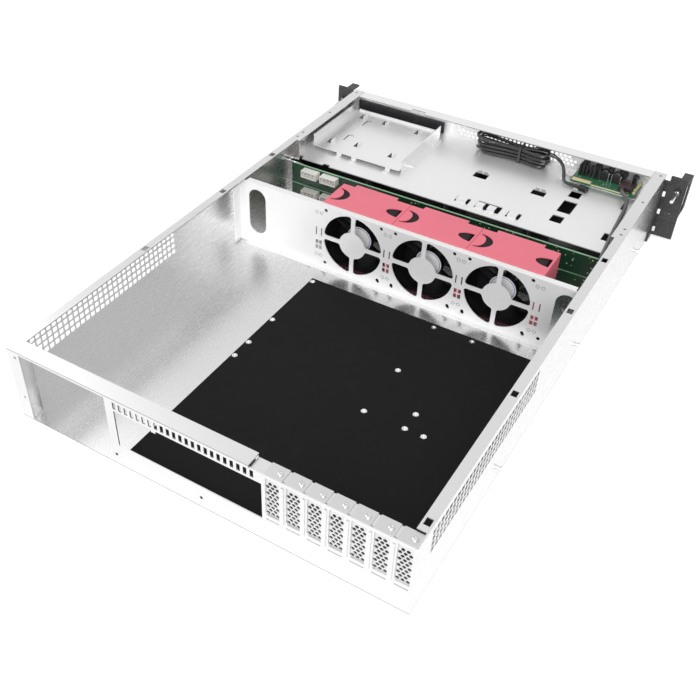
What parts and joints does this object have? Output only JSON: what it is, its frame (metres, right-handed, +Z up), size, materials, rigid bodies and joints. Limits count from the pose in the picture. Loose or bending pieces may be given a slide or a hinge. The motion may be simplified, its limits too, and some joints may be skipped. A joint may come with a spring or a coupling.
{
  "type": "rackmount server case",
  "caption": "Two-unit rackmount server case, lid off: perforated steel tray, mid fan wall with lift-out fans, front drive bays and a deck with a tied black cable",
  "frame": {"origin": "on the centre plane, at the foot of the front panel's face, level with the underside of the floor", "axes": "+Z up, the front looks along -Y, the rear panel is at +Y, +X is on the left seen from behind"},
  "size_m": [0.4826, 0.6948, 0.087],
  "materials": {
    "galvanised_steel": "satin zinc-coated sheet with a faint grain",
    "white_steel": "smooth light finish",
    "slot_cover_steel": "satin",
    "bright_steel": "bright plated",
    "black_steel": "matte black powder coat",
    "red_plastic": "smooth moulded, pink-red",
    "black_plastic": "moulded",
    "caddy_plastic": "fine textured",
    "lever_plastic": "smooth",
    "circuit_board": "green solder mask",
    "connector_plastic": "moulded, off-white and black",
    "insulating_film": "thin sheet",
    "cable_sleeve": "sleeved black cable"
  },
  "bodies": {
    "chassis": {"chassis_tray": "galvanised_steel", "rail_studs": "bright_steel", "rear_panel": "galvanised_steel", "slot_covers": "slot_cover_steel", "slot_screws": "bright_steel", "rear_top_bar": "galvanised_steel", "rear_corner_bracket": "galvanised_steel", "fan_wall": "galvanised_steel", "front_deck": "white_steel", "front_panel": "white_steel", "cage_shelf": "galvanised_steel", "cage_dividers": "galvanised_steel", "backplane_brackets": "galvanised_steel", "lower_backplane": "circuit_board", "upper_backplane": "circuit_board", "drive_connectors": "black_plastic", "power_sockets": "connector_plastic", "optical_tray": "galvanised_steel", "optical_blank": "black_plastic", "io_board_bracket": "galvanised_steel", "io_board": "circuit_board", "io_connectors": "connector_plastic", "rack_ears": "black_steel", "handles": "black_steel", "insulating_sheet": "insulating_film", "standoffs": "galvanised_steel", "cable_hank": "cable_sleeve", "cable_tie": "cable_sleeve", "power_lead": "cable_sleeve", "signal_cable": "cable_sleeve", "cable_plugs": "cable_sleeve"},
    "carrier_1": {"fan_carrier_1": "red_plastic", "fan_frame_1": "black_plastic"},
    "rotor_1": {"fan_rotor_1": "black_plastic"},
    "carrier_2": {"fan_carrier_2": "red_plastic", "fan_frame_2": "black_plastic"},
    "rotor_2": {"fan_rotor_2": "black_plastic"},
    "carrier_3": {"fan_carrier_3": "red_plastic", "fan_frame_3": "black_plastic"},
    "rotor_3": {"fan_rotor_3": "black_plastic"},
    "caddy_1": {"drive_caddy_1": "caddy_plastic"},
    "lever_1": {"caddy_lever_1": "lever_plastic"},
    "caddy_2": {"drive_caddy_2": "caddy_plastic"},
    "lever_2": {"caddy_lever_2": "lever_plastic"},
    "caddy_3": {"drive_caddy_3": "caddy_plastic"},
    "lever_3": {"caddy_lever_3": "lever_plastic"},
    "caddy_4": {"drive_caddy_4": "caddy_plastic"},
    "lever_4": {"caddy_lever_4": "lever_plastic"},
    "caddy_5": {"drive_caddy_5": "caddy_plastic"},
    "lever_5": {"caddy_lever_5": "lever_plastic"},
    "caddy_6": {"drive_caddy_6": "caddy_plastic"},
    "lever_6": {"caddy_lever_6": "lever_plastic"},
    "caddy_7": {"drive_caddy_7": "caddy_plastic"},
    "lever_7": {"caddy_lever_7": "lever_plastic"},
    "caddy_8": {"drive_caddy_8": "caddy_plastic"},
    "lever_8": {"caddy_lever_8": "lever_plastic"},
    "screw_left": {"thumbscrew_left": "bright_steel"},
    "screw_right": {"thumbscrew_right": "bright_steel"},
    "power_button": {"power_button": "lever_plastic"},
    "reset_button": {"reset_button": "lever_plastic"}
  },
  "joints": [
    {"name": "carrier_1_lift", "type": "slide", "parent": "chassis", "child": "carrier_1", "axis": [0, 0, 1], "range_m": [0, 0.09]},
    {"name": "rotor_1_spin", "type": "hinge", "parent": "carrier_1", "child": "rotor_1", "pos_m": [0.0561, 0.2475, 0.0456], "axis": [0, 1, 0], "continuous": true},
    {"name": "carrier_2_lift", "type": "slide", "parent": "chassis", "child": "carrier_2", "axis": [0, 0, 1], "range_m": [0, 0.09]},
    {"name": "rotor_2_spin", "type": "hinge", "parent": "carrier_2", "child": "rotor_2", "pos_m": [-0.0332, 0.2475, 0.0456], "axis": [0, 1, 0], "continuous": true},
    {"name": "carrier_3_lift", "type": "slide", "parent": "chassis", "child": "carrier_3", "axis": [0, 0, 1], "range_m": [0, 0.09]},
    {"name": "rotor_3_spin", "type": "hinge", "parent": "carrier_3", "child": "rotor_3", "pos_m": [-0.1225, 0.2475, 0.0456], "axis": [0, 1, 0], "continuous": true},
    {"name": "caddy_1_slide", "type": "slide", "parent": "chassis", "child": "caddy_1", "axis": [0, -1, 0], "range_m": [0, 0.15]},
    {"name": "lever_1_swing", "type": "hinge", "parent": "caddy_1", "child": "lever_1", "pos_m": [-0.20475, -0.0116, 0.01465], "axis": [0, 0, -1], "range_deg": [0, 75]},
    {"name": "caddy_2_slide", "type": "slide", "parent": "chassis", "child": "caddy_2", "axis": [0, -1, 0], "range_m": [0, 0.15]},
    {"name": "lever_2_swing", "type": "hinge", "parent": "caddy_2", "child": "lever_2", "pos_m": [-0.09785, -0.0116, 0.01465], "axis": [0, 0, -1], "range_deg": [0, 75]},
    {"name": "caddy_3_slide", "type": "slide", "parent": "chassis", "child": "caddy_3", "axis": [0, -1, 0], "range_m": [0, 0.15]},
    {"name": "lever_3_swing", "type": "hinge", "parent": "caddy_3", "child": "lever_3", "pos_m": [0.00905, -0.0116, 0.01465], "axis": [0, 0, -1], "range_deg": [0, 75]},
    {"name": "caddy_4_slide", "type": "slide", "parent": "chassis", "child": "caddy_4", "axis": [0, -1, 0], "range_m": [0, 0.15]},
    {"name": "lever_4_swing", "type": "hinge", "parent": "caddy_4", "child": "lever_4", "pos_m": [0.11595, -0.0116, 0.01465], "axis": [0, 0, -1], "range_deg": [0, 75]},
    {"name": "caddy_5_slide", "type": "slide", "parent": "chassis", "child": "caddy_5", "axis": [0, -1, 0], "range_m": [0, 0.15]},
    {"name": "lever_5_swing", "type": "hinge", "parent": "caddy_5", "child": "lever_5", "pos_m": [-0.20475, -0.0116, 0.04405], "axis": [0, 0, -1], "range_deg": [0, 75]},
    {"name": "caddy_6_slide", "type": "slide", "parent": "chassis", "child": "caddy_6", "axis": [0, -1, 0], "range_m": [0, 0.15]},
    {"name": "lever_6_swing", "type": "hinge", "parent": "caddy_6", "child": "lever_6", "pos_m": [-0.09785, -0.0116, 0.04405], "axis": [0, 0, -1], "range_deg": [0, 75]},
    {"name": "caddy_7_slide", "type": "slide", "parent": "chassis", "child": "caddy_7", "axis": [0, -1, 0], "range_m": [0, 0.15]},
    {"name": "lever_7_swing", "type": "hinge", "parent": "caddy_7", "child": "lever_7", "pos_m": [0.00905, -0.0116, 0.04405], "axis": [0, 0, -1], "range_deg": [0, 75]},
    {"name": "caddy_8_slide", "type": "slide", "parent": "chassis", "child": "caddy_8", "axis": [0, -1, 0], "range_m": [0, 0.15]},
    {"name": "lever_8_swing", "type": "hinge", "parent": "caddy_8", "child": "lever_8", "pos_m": [0.11595, -0.0116, 0.04405], "axis": [0, 0, -1], "range_deg": [0, 75]},
    {"name": "thumbscrew_left_turn", "type": "hinge", "parent": "chassis", "child": "screw_left", "pos_m": [0.23255, 0.0015, 0.06895], "axis": [0, 1, 0], "continuous": true},
    {"name": "thumbscrew_right_turn", "type": "hinge", "parent": "chassis", "child": "screw_right", "pos_m": [-0.23255, 0.0015, 0.06895], "axis": [0, 1, 0], "continuous": true},
    {"name": "power_button_press", "type": "slide", "parent": "chassis", "child": "power_button", "axis": [0, 1, 0], "range_m": [0, 0.0015], "stiffness_N_per_m": 600},
    {"name": "reset_button_press", "type": "slide", "parent": "chassis", "child": "reset_button", "axis": [0, 1, 0], "range_m": [0, 0.0015], "stiffness_N_per_m": 600}
  ]
}
